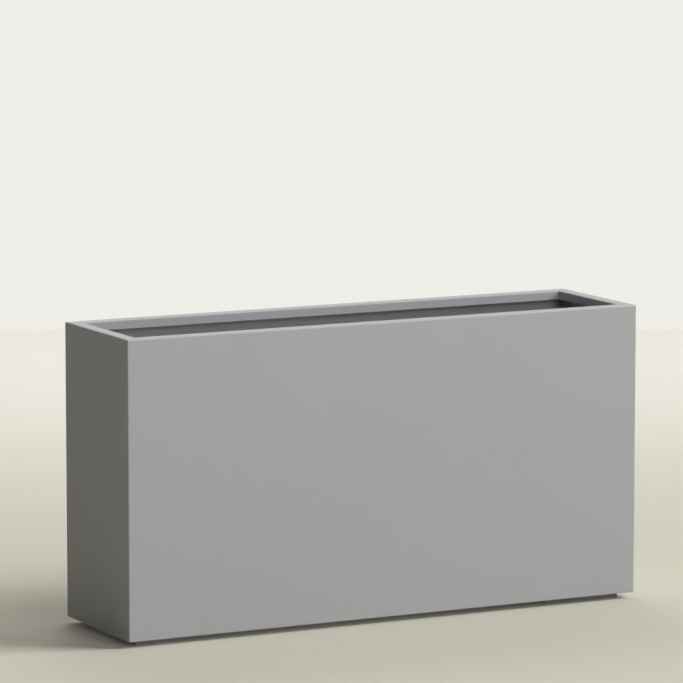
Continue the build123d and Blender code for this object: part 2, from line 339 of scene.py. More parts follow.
def build_mottle():
    """Broad uneven tone, in two sizes of cloud."""
    tree, given, result = new_group(
        "Tone Mottle",
        [("Color", "NodeSocketColor", (0.5, 0.5, 0.5, 1.0)), ("Amount", "NodeSocketFloat", 0.05),
         ("Scale", "NodeSocketFloat", 4.0)],
        [("Color", "NodeSocketColor")],
    )
    point = object_point(tree)
    broad = noise_at(tree, point, given.outputs["Scale"])
    fine = noise_at(tree, point, math_of(tree, "MULTIPLY", given.outputs["Scale"], 9.0), detail=4.0)
    most = math_of(tree, "MULTIPLY", broad, 0.65)
    cloud = math_of(tree, "ADD", most, math_of(tree, "MULTIPLY", fine, 0.35))
    swing = math_of(tree, "MULTIPLY", math_of(tree, "SUBTRACT", cloud, 0.5), 2.0)
    gain = math_of(tree, "MULTIPLY_ADD", swing, given.outputs["Amount"], 1.0)
    tree.links.new(scaled(tree, given.outputs["Color"], gain), result.inputs["Color"])


def build_peel():
    """Orange peel of a sprayed or fused coat, as a height."""
    tree, given, result = new_group(
        "Orange Peel",
        [("Size", "NodeSocketFloat", 0.002), ("Speckle", "NodeSocketFloat", 0.25)],
        [("Height", "NodeSocketFloat")],
    )
    point = object_point(tree)
    scale = math_of(tree, "DIVIDE", 1.0, given.outputs["Size"])
    ripple = noise_at(tree, point, scale, detail=1.0)
    grit = noise_at(tree, point, math_of(tree, "MULTIPLY", scale, 4.0), detail=0.0)
    height = math_of(tree, "MULTIPLY_ADD", grit, given.outputs["Speckle"], ripple)
    tree.links.new(height, result.inputs["Height"])


def build_edge_rub_highlight():
    """Mask along the outer edges of a box, uneven: for edge wear and a painted highlight along the edges."""
    tree, given, result = new_group(
        "Edge Rub Highlight",
        [("Centre", "NodeSocketVector", (0.0, 0.0, 0.0)), ("Half Size", "NodeSocketVector", (1.0, 1.0, 1.0)),
         ("Width", "NodeSocketFloat", 0.004)],
        [("Mask", "NodeSocketFloat")],
    )
    point = object_point(tree)
    away = vector_of(tree, "SUBTRACT", point, given.outputs["Centre"])
    depth = vector_of(tree, "SUBTRACT", given.outputs["Half Size"], vector_of(tree, "ABSOLUTE", away))
    parts = put(tree, "ShaderNodeSeparateXYZ")
    tree.links.new(depth, parts.inputs[0])
    x, y, z = parts.outputs
    lesser, greater = math_of(tree, "MINIMUM", x, y), math_of(tree, "MAXIMUM", x, y)
    second = math_of(tree, "MAXIMUM", lesser, math_of(tree, "MINIMUM", greater, z))
    wander = noise_at(tree, point, 35.0, detail=4.0)
    reach = math_of(tree, "MULTIPLY", given.outputs["Width"], math_of(tree, "MULTIPLY", wander, 2.0))
    near = math_of(tree, "DIVIDE", second, reach)
    tree.links.new(ramp(tree, near, 0.2, 1.0, 1.0, 0.0), result.inputs["Mask"])


def build_settled_dust():
    """Mask of thin dust on surfaces that face upwards."""
    tree, given, result = new_group(
        "Settled Dust",
        [("Amount", "NodeSocketFloat", 0.3), ("Scale", "NodeSocketFloat", 30.0)],
        [("Mask", "NodeSocketFloat")],
    )
    parts = put(tree, "ShaderNodeSeparateXYZ")
    tree.links.new(put(tree, "ShaderNodeNewGeometry").outputs["Normal"], parts.inputs[0])
    upward = ramp(tree, parts.outputs["Z"], 0.55, 1.0)
    cloud = noise_at(tree, object_point(tree), given.outputs["Scale"], detail=6.0, roughness=0.65)
    patches = ramp(tree, cloud, 0.35, 0.7)
    mask = math_of(tree, "MULTIPLY", math_of(tree, "MULTIPLY", upward, patches), given.outputs["Amount"])
    tree.links.new(mask, result.inputs["Mask"])


def build_spangle():
    """Frosted crystals of hot dip galvanising."""
    tree, given, result = new_group(
        "Zinc Spangle",
        [("Color", "NodeSocketColor", (0.5, 0.5, 0.5, 1.0)), ("Size", "NodeSocketFloat", 0.01),
         ("Contrast", "NodeSocketFloat", 0.2), ("Roughness", "NodeSocketFloat", 0.4)],
        [("Color", "NodeSocketColor"), ("Roughness", "NodeSocketFloat")],
    )
    point = object_point(tree)
    bend = noise_at(tree, point, 60.0, detail=2.0)
    push = put(tree, "ShaderNodeVectorMath", operation="SCALE")
    push.inputs["Scale"].default_value = 0.006
    spread = put(tree, "ShaderNodeCombineXYZ")
    for socket in spread.inputs:
        tree.links.new(bend, socket)
    tree.links.new(spread.outputs[0], push.inputs[0])
    cells = put(tree, "ShaderNodeTexVoronoi", feature="F1")
    tree.links.new(vector_of(tree, "ADD", point, push.outputs[0]), cells.inputs["Vector"])
    tree.links.new(math_of(tree, "DIVIDE", 1.0, given.outputs["Size"]), cells.inputs["Scale"])
    tone = put(tree, "ShaderNodeSeparateColor")
    tree.links.new(cells.outputs["Color"], tone.inputs[0])
    streak = noise_at(tree, point, 700.0, detail=2.0)
    swing = math_of(tree, "SUBTRACT", math_of(tree, "MULTIPLY_ADD", streak, 0.4, tone.outputs[0]), 0.7)
    gain = math_of(tree, "MULTIPLY_ADD", swing, given.outputs["Contrast"], 1.0)
    tree.links.new(scaled(tree, given.outputs["Color"], gain), result.inputs["Color"])
    rough = math_of(tree, "MULTIPLY_ADD", tone.outputs[1], 0.16, given.outputs["Roughness"])
    tree.links.new(rough, result.inputs["Roughness"])


def build_fine_scuffs():
    """Short fine scuffs in every direction, as a mask."""
    tree, given, result = new_group(
        "Fine Scuffs",
        [("Scale", "NodeSocketFloat", 60.0), ("Share", "NodeSocketFloat", 0.2)],
        [("Mask", "NodeSocketFloat")],
    )
    point = object_point(tree)
    masks = []
    for turn in (0.4, 1.5, 2.6):
        mapping = put(tree, "ShaderNodeMapping")
        mapping.inputs["Rotation"].default_value = (turn, turn * 0.7, turn)
        mapping.inputs["Scale"].default_value = (1.0, 14.0, 14.0)
        tree.links.new(point, mapping.inputs["Vector"])
        strokes = noise_at(tree, mapping.outputs[0], given.outputs["Scale"], detail=3.0)
        masks.append(ramp(tree, strokes, 0.62, 0.72))
    strongest = math_of(tree, "MAXIMUM", math_of(tree, "MAXIMUM", masks[0], masks[1]), masks[2])
    tree.links.new(math_of(tree, "MULTIPLY", strongest, given.outputs["Share"]), result.inputs["Mask"])


def build_effects():
    """Builds every shared effect once."""
    if "Tone Mottle" not in bpy.data.node_groups:
        build_mottle()
        build_peel()
        build_edge_rub_highlight()
        build_settled_dust()
        build_spangle()
        build_fine_scuffs()


# Materials


def new_material(name):
    """A node material with a Principled shader: the material, its tree and the shader."""
    build_effects()
    material = bpy.data.materials.new(name)
    material.use_nodes = True
    tree = material.node_tree
    tree.nodes.clear()
    shader = tree.nodes.new("ShaderNodeBsdfPrincipled")
    output = tree.nodes.new("ShaderNodeOutputMaterial")
    tree.links.new(shader.outputs[0], output.inputs["Surface"])
    return material, tree, shader


def bump(tree, shader, height, depth):
    """Feeds a height to the shader's normal, with its depth in metres."""
    node = put(tree, "ShaderNodeBump")
    node.inputs["Distance"].default_value = depth
    tree.links.new(height, node.inputs["Height"])
    tree.links.new(node.outputs[0], shader.inputs["Normal"])


def powder_coat(name, dust):
    """Satin powder coat: mottled tone, orange peel, outer edges painted lighter as wear and painted
    highlight, and settled dust.
    """
    paint = bpy.context.scene.planter_paint
    material, tree, shader = new_material(name)
    tone = place(tree, "Tone Mottle", color=(*paint.color, 1.0), amount=paint.mottle, scale=3.5)
    centre, half = (cad_low + cad_high) / 2, (cad_high - cad_low) / 2
    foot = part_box("left_skid")[1].z
    centre.z += foot / 2
    half.z -= foot / 2
    rub_and_highlight = place(tree, "Edge Rub Highlight", centre=centre, half_size=half, width=paint.edge_width)
    settled = place(tree, "Settled Dust", amount=dust, scale=22.0)
    scuffs = place(tree, "Fine Scuffs", scale=26.0, share=0.5)
    # Outer edges painted lighter: partly worn paint, partly a painted highlight along the edges
    rubbed_highlight = [c * 1.16 for c in paint.color]
    color = blend_colors(tree, math_of(tree, "MULTIPLY", rub_and_highlight.outputs[0], 0.5), tone.outputs[0], rubbed_highlight)
    color = blend_colors(tree, settled.outputs[0], color, (0.52, 0.50, 0.45))
    tree.links.new(color, shader.inputs["Base Color"])
    drift = noise_at(tree, object_point(tree), 7.0, detail=3.0)
    rough = math_of(tree, "MULTIPLY_ADD", drift, 0.08, paint.roughness - 0.04)
    rough = math_of(tree, "MULTIPLY_ADD", scuffs.outputs[0], -0.07, rough)
    rough = math_of(tree, "MULTIPLY_ADD", settled.outputs[0], 0.4, rough, clamp=True)
    tree.links.new(rough, shader.inputs["Roughness"])
    peel = place(tree, "Orange Peel", size=paint.peel_size, speckle=0.25)
    bump(tree, shader, peel.outputs[0], paint.peel_depth)
    return material


def zinc_plate(name):
    """Bright zinc plate with a faint tint and fine scuffs."""
    hardware = bpy.context.scene.planter_hardware
    material, tree, shader = new_material(name)
    shader.inputs["Metallic"].default_value = 1.0
    tone = place(tree, "Tone Mottle", color=(*hardware.zinc, 1.0), amount=0.25, scale=160.0)
    scuffs = place(tree, "Fine Scuffs", scale=240.0, share=1.0)
    share = math_of(tree, "MULTIPLY", scuffs.outputs[0], 0.4)
    color = blend_colors(tree, share, tone.outputs[0], (0.75, 0.74, 0.70))
    tree.links.new(color, shader.inputs["Base Color"])
    drift = noise_at(tree, object_point(tree), 300.0, detail=3.0)
    tree.links.new(math_of(tree, "MULTIPLY_ADD", drift, 0.2, 0.24), shader.inputs["Roughness"])
    bump(tree, shader, drift, 0.00002)
    return material


def galvanised_sheet(name):
    """Galvanised sheet with its spangle and a little dust."""
    sheet = bpy.context.scene.planter_sheet
    material, tree, shader = new_material(name)
    shader.inputs["Metallic"].default_value = 1.0
    crystal = place(
        tree, "Zinc Spangle",
        color=(*sheet.galvanised, 1.0), size=sheet.spangle, contrast=0.34, roughness=0.34,
    )
    settled = place(tree, "Settled Dust", amount=0.3, scale=40.0)
    color = blend_colors(tree, settled.outputs[0], crystal.outputs["Color"], (0.42, 0.40, 0.36))
    tree.links.new(color, shader.inputs["Base Color"])
    rough = math_of(tree, "MULTIPLY_ADD", settled.outputs[0], 0.5, crystal.outputs["Roughness"], clamp=True)
    tree.links.new(rough, shader.inputs["Roughness"])
    bump(tree, shader, noise_at(tree, object_point(tree), 500.0, detail=2.0), 0.00002)
    return material


def moulded_board(name):
    """Recycled plastic board: dark grey with pale flecks and a moulded grain."""
    sheet = bpy.context.scene.planter_sheet
    material, tree, shader = new_material(name)
    tone = place(tree, "Tone Mottle", color=(*sheet.board, 1.0), amount=0.2, scale=25.0)
    flecks = ramp(tree, noise_at(tree, object_point(tree), 900.0, detail=1.0), 0.68, 0.74)
    color = blend_colors(tree, math_of(tree, "MULTIPLY", flecks, 0.5), tone.outputs[0], (0.42, 0.42, 0.42))
    tree.links.new(color, shader.inputs["Base Color"])
    drift = noise_at(tree, object_point(tree), 90.0, detail=4.0)
    tree.links.new(math_of(tree, "MULTIPLY_ADD", drift, 0.2, 0.55), shader.inputs["Roughness"])
    grain = place(tree, "Orange Peel", size=0.0012, speckle=0.6)
    bump(tree, shader, grain.outputs[0], 0.00006)
    return material


def cured_sealant(name):
    """Tooled sealant: smooth skin with drag ripples."""
    sheet = bpy.context.scene.planter_sheet
    material, tree, shader = new_material(name)
    tone = place(tree, "Tone Mottle", color=(*sheet.sealant, 1.0), amount=0.15, scale=40.0)
    tree.links.new(tone.outputs[0], shader.inputs["Base Color"])
    drift = noise_at(tree, object_point(tree), 55.0, detail=3.0)
    tree.links.new(math_of(tree, "MULTIPLY_ADD", drift, 0.3, 0.3), shader.inputs["Roughness"])
    bump(tree, shader, noise_at(tree, object_point(tree), 130.0, detail=3.0), 0.0004)
    return material


def moulded_rubber(name):
    """Black rubber with a dry bloom and settled dust."""
    sheet = bpy.context.scene.planter_sheet
    material, tree, shader = new_material(name)
    tone = place(tree, "Tone Mottle", color=(*sheet.rubber, 1.0), amount=0.3, scale=60.0)
    settled = place(tree, "Settled Dust", amount=0.25, scale=90.0)
    color = blend_colors(tree, settled.outputs[0], tone.outputs[0], (0.25, 0.24, 0.21))
    tree.links.new(color, shader.inputs["Base Color"])
    drift = noise_at(tree, object_point(tree), 120.0, detail=4.0)
    tree.links.new(math_of(tree, "MULTIPLY_ADD", drift, 0.2, 0.6), shader.inputs["Roughness"])
    grain = place(tree, "Orange Peel", size=0.0007, speckle=0.5)
    bump(tree, shader, grain.outputs[0], 0.00004)
    return material


def material_of(name, maker, *values):
    """A material by name, made the first time it is asked for."""
    return bpy.data.materials.get(name) or maker(name, *values)


def dress(nodes, material):
    """Gives carried-over nodes a material."""
    for name in nodes:
        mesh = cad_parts[name].data
        mesh.materials.clear()
        mesh.materials.append(material)


# Mesh helpers


def solid_boxes(node):
    """Lowest and highest corner of each separate solid of a node."""
    mesh = bmesh.new()
    mesh.from_mesh(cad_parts[node].data)
    bmesh.ops.remove_doubles(mesh, verts=mesh.verts, dist=0.01 * millimetre)
    waiting = set(mesh.verts)
    boxes = []
    while waiting:
        front = [waiting.pop()]
        points = []
        while front:
            vertex = front.pop()
            points.append(vertex.co.copy())
            for edge in vertex.link_edges:
                other = edge.other_vert(vertex)
                if other in waiting:
                    waiting.remove(other)
                    front.append(other)
        low = Vector([min(p[i] for p in points) for i in range(3)])
        high = Vector([max(p[i] for p in points) for i in range(3)])
        boxes.append((low, high))
    mesh.free()
    return sorted(boxes, key=lambda box: tuple(round(value, 4) for value in box[0]))


def turned(mesh, rows, place_at, sides, closed=False):
    """Adds a turned form. Each row is a height and a radius, or a radius by angle."""
    rings = []
    for height, radius in rows:
        ring = []
        for step in range(sides):
            angle = 2 * math.pi * step / sides
            reach = radius(angle) if callable(radius) else radius
            point = Vector((reach * math.cos(angle), reach * math.sin(angle), height))
            ring.append(mesh.verts.new(place_at @ point))
        rings.append(ring)
    pairs = list(zip(rings, rings[1:]))
    if closed:
        pairs.append((rings[-1], rings[0]))
    for lower, upper in pairs:
        for step in range(sides):
            after = (step + 1) % sides
            mesh.faces.new((lower[step], lower[after], upper[after], upper[step]))
    if not closed:
        mesh.faces.new(reversed(rings[0]))
        mesh.faces.new(rings[-1])


def hexagon(flats, reach=None):
    """Radius by angle of a hexagon, cut down to a circle where a reach is given."""

    def radius(angle):
        turn = (angle + math.pi / 6) % (math.pi / 3) - math.pi / 6
        corner = flats / 2 / math.cos(turn)
        return corner if reach is None else min(corner, reach)

    return radius


def new_piece(name, mesh, material, smooth_angle=35.0):
    """Turns a bmesh into a piece that rides on the planter."""
    bmesh.ops.recalc_face_normals(mesh, faces=mesh.faces)
    data = bpy.data.meshes.new(name)
    mesh.to_mesh(data)
    mesh.free()
    data.materials.append(material)
    piece = bpy.data.objects.new(name, data)
    bpy.context.scene.collection.objects.link(piece)
    data.shade_smooth()
    data.set_sharp_from_angle(angle=math.radians(smooth_angle))
    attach(piece, planter)
    return piece


def thread_rows(hardware, start, end, crest):
    """Rows of a helical thread between two heights, fading out over a turn at both ends."""
    depth, pitch = hardware.thread_depth, hardware.pitch
    steps_per_turn, flank = 8, 1.4
    count = int((end - start) / pitch * steps_per_turn)
    rows = []
    for step in range(count + 1):
        height = start + (end - start) * step / count
        fade = min(1.0, (height - start) / pitch, (end - height) / pitch)

        def radius(angle, height=height, fade=fade):
            phase = (height / pitch - angle / (2 * math.pi)) % 1.0
            return crest - depth * max(0.0, fade) * min(1.0, abs(2 * phase - 1) * flank)

        rows.append((height, radius))
    return rows


def flange_nut_rows(hardware, height, flange):
    """Rows of a hexagon flange nut, from its seat round to its bore."""
    bore, flats, flange_height = hardware.nut_bore, hardware.nut_flats, hardware.nut_flange
    edge = flats * 0.06
    return [
        (0.0, bore + edge / 2),
        (0.0, flange - edge),
        (edge / 2, flange),
        (flange_height * 0.7, flange),
        (flange_height, flange * 0.93),
        (flange_height * 1.35, hexagon(flats, flange * 0.9)),
        (height - edge * 1.6, hexagon(flats)),
        (height - edge * 0.8, hexagon(flats, flats * 0.535)),
        (height, hexagon(flats, flats * 0.48)),
        (height, bore + edge),
        (height - edge, bore),
        (edge / 2, bore),
    ]


def bead(mesh, corner, out, off, length, radius):
    """Adds a stitch of fillet weld that starts at a corner point and runs upwards."""
    ripple, step = 1.7 * millimetre, 0.4 * millimetre
    quarter_steps = 6
    count = round(length / step)
    rings = []
    for row in range(count + 1):
        share = row / count
        taper = (1.0 - abs(2.0 * share - 1.0) ** 7) ** 0.5
        swell = 0.86 + 0.14 * math.sqrt(abs(math.sin(math.pi * row * step / ripple)))
        reach = max(0.12, taper) * swell * radius
        base = corner + Vector((0.0, 0.0, length * share))
        ring = [mesh.verts.new(base)]
        for turn in range(quarter_steps + 1):
            angle = math.pi / 2 * turn / quarter_steps
            bulge = reach * (1.0 - 0.10 * math.sin(2 * angle))
            point = base + out * bulge * math.cos(angle) + off * bulge * math.sin(angle)
            ring.append(mesh.verts.new(point))
        rings.append(ring)
    for lower, upper in zip(rings, rings[1:]):
        for index in range(len(lower)):
            after = (index + 1) % len(lower)
            mesh.faces.new((lower[index], lower[after], upper[after], upper[index]))
    mesh.faces.new(reversed(rings[0]))
    mesh.faces.new(rings[-1])


def along(point, direction):
    """Matrix that stands a turned form's axis on a point, along a direction."""
    turn = Vector(direction).to_track_quat("Z", "Y").to_matrix().to_4x4()
    return Matrix.Translation(point) @ turn


def wall_end(low, high):
    """Where a fastener's box meets its long wall, and which way is inward."""
    inward = -1.0 if low.y > 0 else 1.0
    point = Vector(((low.x + high.x) / 2, high.y if inward < 0 else low.y, (low.z + high.z) / 2))
    return point, (0, inward, 0)


# Operators, one for each piece or group of like pieces


class PLANTER_OT_walls(bpy.types.Operator):
    """Coat the four mitred wall panels"""

    bl_idname = "planter.walls"
    bl_label = "Walls"

    def execute(self, context):
        coat = material_of("satin_powder_coat", powder_coat, 0.10)
        dress(["front_panel", "back_panel", "left_end_panel", "right_end_panel"], coat)
        return {"FINISHED"}


class PLANTER_OT_corners(bpy.types.Operator):
    """Coat the corner angles and gussets, and lay their stitch welds"""

    bl_idname = "planter.corners"
    bl_label = "Corners"

    def execute(self, context):
        coat = material_of("inside_powder_coat", powder_coat, 0.16)
        dress([f"corner_angle_{corner}" for corner in corners], coat)
        dress([f"rim_gusset_{corner}" for corner in corners], coat)
        hardware = context.scene.planter_hardware
        welds = bmesh.new()
        for corner in corners:
            low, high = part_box(f"corner_angle_{corner}")
            inward = Vector((1.0 if "left" in corner else -1.0, 1.0 if "front" in corner else -1.0, 0.0))
            along_x, along_y = Vector((inward.x, 0.0, 0.0)), Vector((0.0, inward.y, 0.0))
            root = Vector((low.x if inward.x > 0 else high.x, low.y if inward.y > 0 else high.y, 0.0))
            first = low.z + hardware.stitch_length
            pitch = (high.z - low.z - 3 * hardware.stitch_length) / (hardware.stitches - 1)
            legs = ((along_x, along_y, high.x - low.x), (along_y, along_x, high.y - low.y))
            for stitch in range(hardware.stitches):
                level = Vector((0.0, 0.0, first + stitch * pitch))
                for out, off, width in legs:
                    toe = root + out * width + level
                    bead(welds, toe, out, off, hardware.stitch_length, hardware.weld_leg)
        new_piece("corner_angle_welds", welds, coat, 50.0)
        return {"FINISHED"}


class PLANTER_OT_floor(bpy.types.Operator):
    """Coat the floor pan and skin the sealant bead"""

    bl_idname = "planter.floor"
    bl_label = "Floor pan"

    def execute(self, context):
        dress(["floor_pan"], material_of("inside_powder_coat", powder_coat, 0.16))
        dress(["floor_seal"], material_of("cured_sealant", cured_sealant))
        return {"FINISHED"}


class PLANTER_OT_rails(bpy.types.Operator):
    """Coat the cross rails"""

    bl_idname = "planter.rails"
    bl_label = "Cross rails"

    def execute(self, context):
        dress(rails, material_of("inside_powder_coat", powder_coat, 0.16))
        return {"FINISHED"}


class PLANTER_OT_rail_fasteners(bpy.types.Operator):
    """Thread the weld studs and their flange nuts"""

    bl_idname = "planter.rail_fasteners"
    bl_label = "Rail fasteners"

    def execute(self, context):
        hardware = context.scene.planter_hardware
        zinc = material_of("zinc_plate", zinc_plate)
        studs, nuts = bmesh.new(), bmesh.new()
        plain_root, thread_start = 2.2 * millimetre, 2.4 * millimetre
        for low, high in solid_boxes("rail_studs"):
            length, radius = high.y - low.y, (high.x - low.x) / 2
            rows = [(0.0, radius), (plain_root, radius)]
            rows += thread_rows(hardware, thread_start, length - thread_tip, radius)
            rows.append((length, radius - hardware.thread_depth))
            turned(studs, rows, along(*wall_end(low, high)), hardware.facets // 2)
        for low, high in solid_boxes("rail_nuts"):
            rows = flange_nut_rows(hardware, high.y - low.y, (high.x - low.x) / 2)
            turned(nuts, rows, along(*wall_end(low, high)), hardware.facets, closed=True)
        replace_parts(new_piece("threaded_rail_studs", studs, zinc), "rail_studs")
        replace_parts(new_piece("flanged_rail_nuts", nuts, zinc), "rail_nuts")
        return {"FINISHED"}


class PLANTER_OT_skids(bpy.types.Operator):
    """Give the skids their moulded board"""

    bl_idname = "planter.skids"
    bl_label = "Skids"

    def execute(self, context):
        dress(["left_skid", "right_skid"], material_of("moulded_board", moulded_board))
        return {"FINISHED"}


class PLANTER_OT_skid_fasteners(bpy.types.Operator):
    """Thread the skid screws, cut their sockets and shape their nuts"""

    bl_idname = "planter.skid_fasteners"
    bl_label = "Skid fasteners"

    def execute(self, context):
        hardware = context.scene.planter_hardware
        zinc = material_of("zinc_plate", zinc_plate)
        screws, nuts = bmesh.new(), bmesh.new()
        shank, plain_shank = 3.0 * millimetre, 6.0 * millimetre
        head_height = hardware.head_height
        for low, high in solid_boxes("skid_screws"):
            foot = Vector(((low.x + high.x) / 2, (low.y + high.y) / 2, low.z))
            head, length = (high.x - low.x) / 2, high.z - low.z
            # From the socket's floor, over the head's rounded edge, to the shank
            rows = [
                (hardware.socket_depth, hexagon(hardware.socket)),
                (0.25 * millimetre, hexagon(hardware.socket)),
                (0.0, hexagon(hardware.socket * 1.14, hardware.socket * 0.6)),
                (0.0, head * 0.72),
                (0.35 * millimetre, head * 0.9),
                (1.1 * millimetre, head * 0.985),
                (1.8 * millimetre, head),
                (head_height, head),
                (head_height, shank),
            ]
            rows += thread_rows(hardware, head_height + plain_shank, length - thread_tip, shank)
            rows.append((length, shank - hardware.thread_depth))
            turned(screws, rows, Matrix.Translation(foot), hardware.facets)
        for low, high in solid_boxes("skid_nuts"):
            seat = Vector(((low.x + high.x) / 2, (low.y + high.y) / 2, low.z))
            rows = flange_nut_rows(hardware, high.z - low.z, (high.x - low.x) / 2)
            turned(nuts, rows, Matrix.Translation(seat), hardware.facets, closed=True)
        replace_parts(new_piece("socket_skid_screws", screws, zinc), "skid_screws")
        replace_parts(new_piece("flanged_skid_nuts", nuts, zinc), "skid_nuts")
        return {"FINISHED"}


class PLANTER_OT_rivets(bpy.types.Operator):
    """Dome the blind rivets and set their tails"""

    bl_idname = "planter.rivets"
    bl_label = "Rivets"

    def execute(self, context):
        hardware = context.scene.planter_hardware
        zinc = material_of("zinc_plate", zinc_plate)
        rivets = bmesh.new()
        shank, pin, head_height = hardware.rivet_shank, hardware.rivet_pin, hardware.rivet_head
        grip, bulb = 4.0 * millimetre, 3.6 * millimetre
        pin_depth, pin_edge = 1.2 * millimetre, 0.15 * millimetre
        eye, dome = pin * 1.25, head_height * 0.8
        dome_steps, tail_steps = 6, 7
        for low, high in solid_boxes("floor_rivets"):
            top = Vector(((low.x + high.x) / 2, (low.y + high.y) / 2, high.z))
            head = (high.x - low.x) / 2
            length = high.z - low.z
            tail_top = -head_height - grip
            rows = [(-pin_depth, pin * 0.5), (-pin_depth, pin), (-pin_edge, pin), (0.0, eye)]
            for step in range(1, dome_steps + 1):
                angle = math.pi / 2 * step / dome_steps
                rows.append((-dome * (1 - math.cos(angle)), eye + (head - eye) * math.sin(angle)))
            rows += [(-head_height, head), (-head_height, shank), (tail_top, shank)]
            for step in range(tail_steps):
                angle = math.pi * step / tail_steps
                reach = shank + (bulb - shank) * math.sin(angle) ** 0.5
                rows.append((tail_top - (length + tail_top) * 0.8 * step / tail_steps, reach))
            rows += [(-length * 0.97, pin * 1.2), (-length, pin)]
            turned(rivets, rows, Matrix.Translation(top), hardware.facets // 2)
        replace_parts(new_piece("domed_floor_rivets", rivets, zinc), "floor_rivets")
        return {"FINISHED"}


class PLANTER_OT_shelves(bpy.types.Operator):
    """Galvanise the lift-out shelves"""

    bl_idname = "planter.shelves"
    bl_label = "Shelves"

    def execute(self, context):
        dress(shelves, material_of("galvanised_sheet", galvanised_sheet))
        return {"FINISHED"}


class PLANTER_OT_plugs(bpy.types.Operator):
    """Mould the drain plugs in rubber"""

    bl_idname = "planter.plugs"
    bl_label = "Drain plugs"

    def execute(self, context):
        dress(plugs, material_of("moulded_rubber", moulded_rubber))
        return {"FINISHED"}


def view_axes(stage):
    """The camera's flat heading, and its full direction."""
    heading = Vector((math.sin(stage.yaw), math.cos(stage.yaw), 0.0))
    direction = heading * math.cos(stage.pitch) - Vector((0.0, 0.0, math.sin(stage.pitch)))
    return heading, direction


def lamp(name, size, power, location, target):
    """A square area lamp that faces a target."""
    data = bpy.data.lights.new(name, "AREA")
    data.shape, data.size, data.energy = "SQUARE", size, power
    light = bpy.data.objects.new(name, data)
    light.location = location
    light.rotation_mode = "QUATERNION"
    light.rotation_quaternion = (Vector(target) - Vector(location)).to_track_quat("-Z", "Y")
    bpy.context.scene.collection.objects.link(light)


def round_about(stage, azimuth, elevation, distance):
    """A place round the planter's middle: azimuth from the camera's side, to the right."""
    heading, _ = view_axes(stage)
    side = Vector((heading.y, -heading.x, 0.0))
    flat = side * math.sin(azimuth) - heading * math.cos(azimuth)
    return middle + (flat * math.cos(elevation) + Vector((0.0, 0.0, math.sin(elevation)))) * distance


def shown_pale(tree, surface, color):
    """Shows a plain colour to the camera and to reflections, and a surface to the light."""
    path = put(tree, "ShaderNodeLightPath")
    seen = math_of(tree, "MAXIMUM", path.outputs["Is Camera Ray"], path.outputs["Is Glossy Ray"])
    seen = math_of(tree, "MAXIMUM", seen, path.outputs["Is Transmission Ray"])
    glow = put(tree, "ShaderNodeEmission")
    glow.inputs["Color"].default_value = (*color, 1.0)
    mix = put(tree, "ShaderNodeMixShader")
    tree.links.new(seen, mix.inputs[0])
    tree.links.new(surface, mix.inputs[1])
    tree.links.new(glow.outputs[0], mix.inputs[2])
    return mix.outputs[0]


def open_to_view(tree, surface, share):
    """Ends a stage material in a surface that is clear where the share is one."""
    clear = put(tree, "ShaderNodeBsdfTransparent")
    through = put(tree, "ShaderNodeMixShader")
    tree.links.new(share, through.inputs[0])
    tree.links.new(surface, through.inputs[1])
    tree.links.new(clear.outputs[0], through.inputs[2])
    tree.links.new(through.outputs[0], tree.nodes["Material Output"].inputs["Surface"])


def open_from_below(tree):
    """Where the floor lets rays through: from beneath, and lamp light under the planter."""
    geometry = put(tree, "ShaderNodeNewGeometry")
    path = put(tree, "ShaderNodeLightPath")
    parts = put(tree, "ShaderNodeSeparateXYZ")
    tree.links.new(geometry.outputs["Position"], parts.inputs[0])
    mask = path.outputs["Is Shadow Ray"]
    for axis in (0, 1):
        reach = math_of(tree, "ABSOLUTE", parts.outputs[axis])
        mask = math_of(tree, "MULTIPLY", mask, math_of(tree, "LESS_THAN", reach, cad_high[axis]))
    return math_of(tree, "MAXIMUM", mask, geometry.outputs["Backfacing"])


def reach_along(tree, axis):
    """How far the surface point lies along an axis."""
    node = put(tree, "ShaderNodeVectorMath", operation="DOT_PRODUCT")
    tree.links.new(object_point(tree), node.inputs[0])
    node.inputs[1].default_value = axis
    return node.outputs["Value"]


def stage_material(name, roughness):
    """A matt stage material, its tree and its shader."""
    material = bpy.data.materials.new(name)
    material.use_nodes = True
    tree = material.node_tree
    shader = tree.nodes["Principled BSDF"]
    shader.inputs["Roughness"].default_value = roughness
    return material, tree, shader


def stage_sheet(name, outline, material):
    """A flat four cornered sheet of the stage."""
    data = bpy.data.meshes.new(name)
    data.from_pydata([tuple(p) for p in outline], [], [(0, 1, 2, 3)])
    data.materials.append(material)
    piece = bpy.data.objects.new(name, data)
    bpy.context.scene.collection.objects.link(piece)


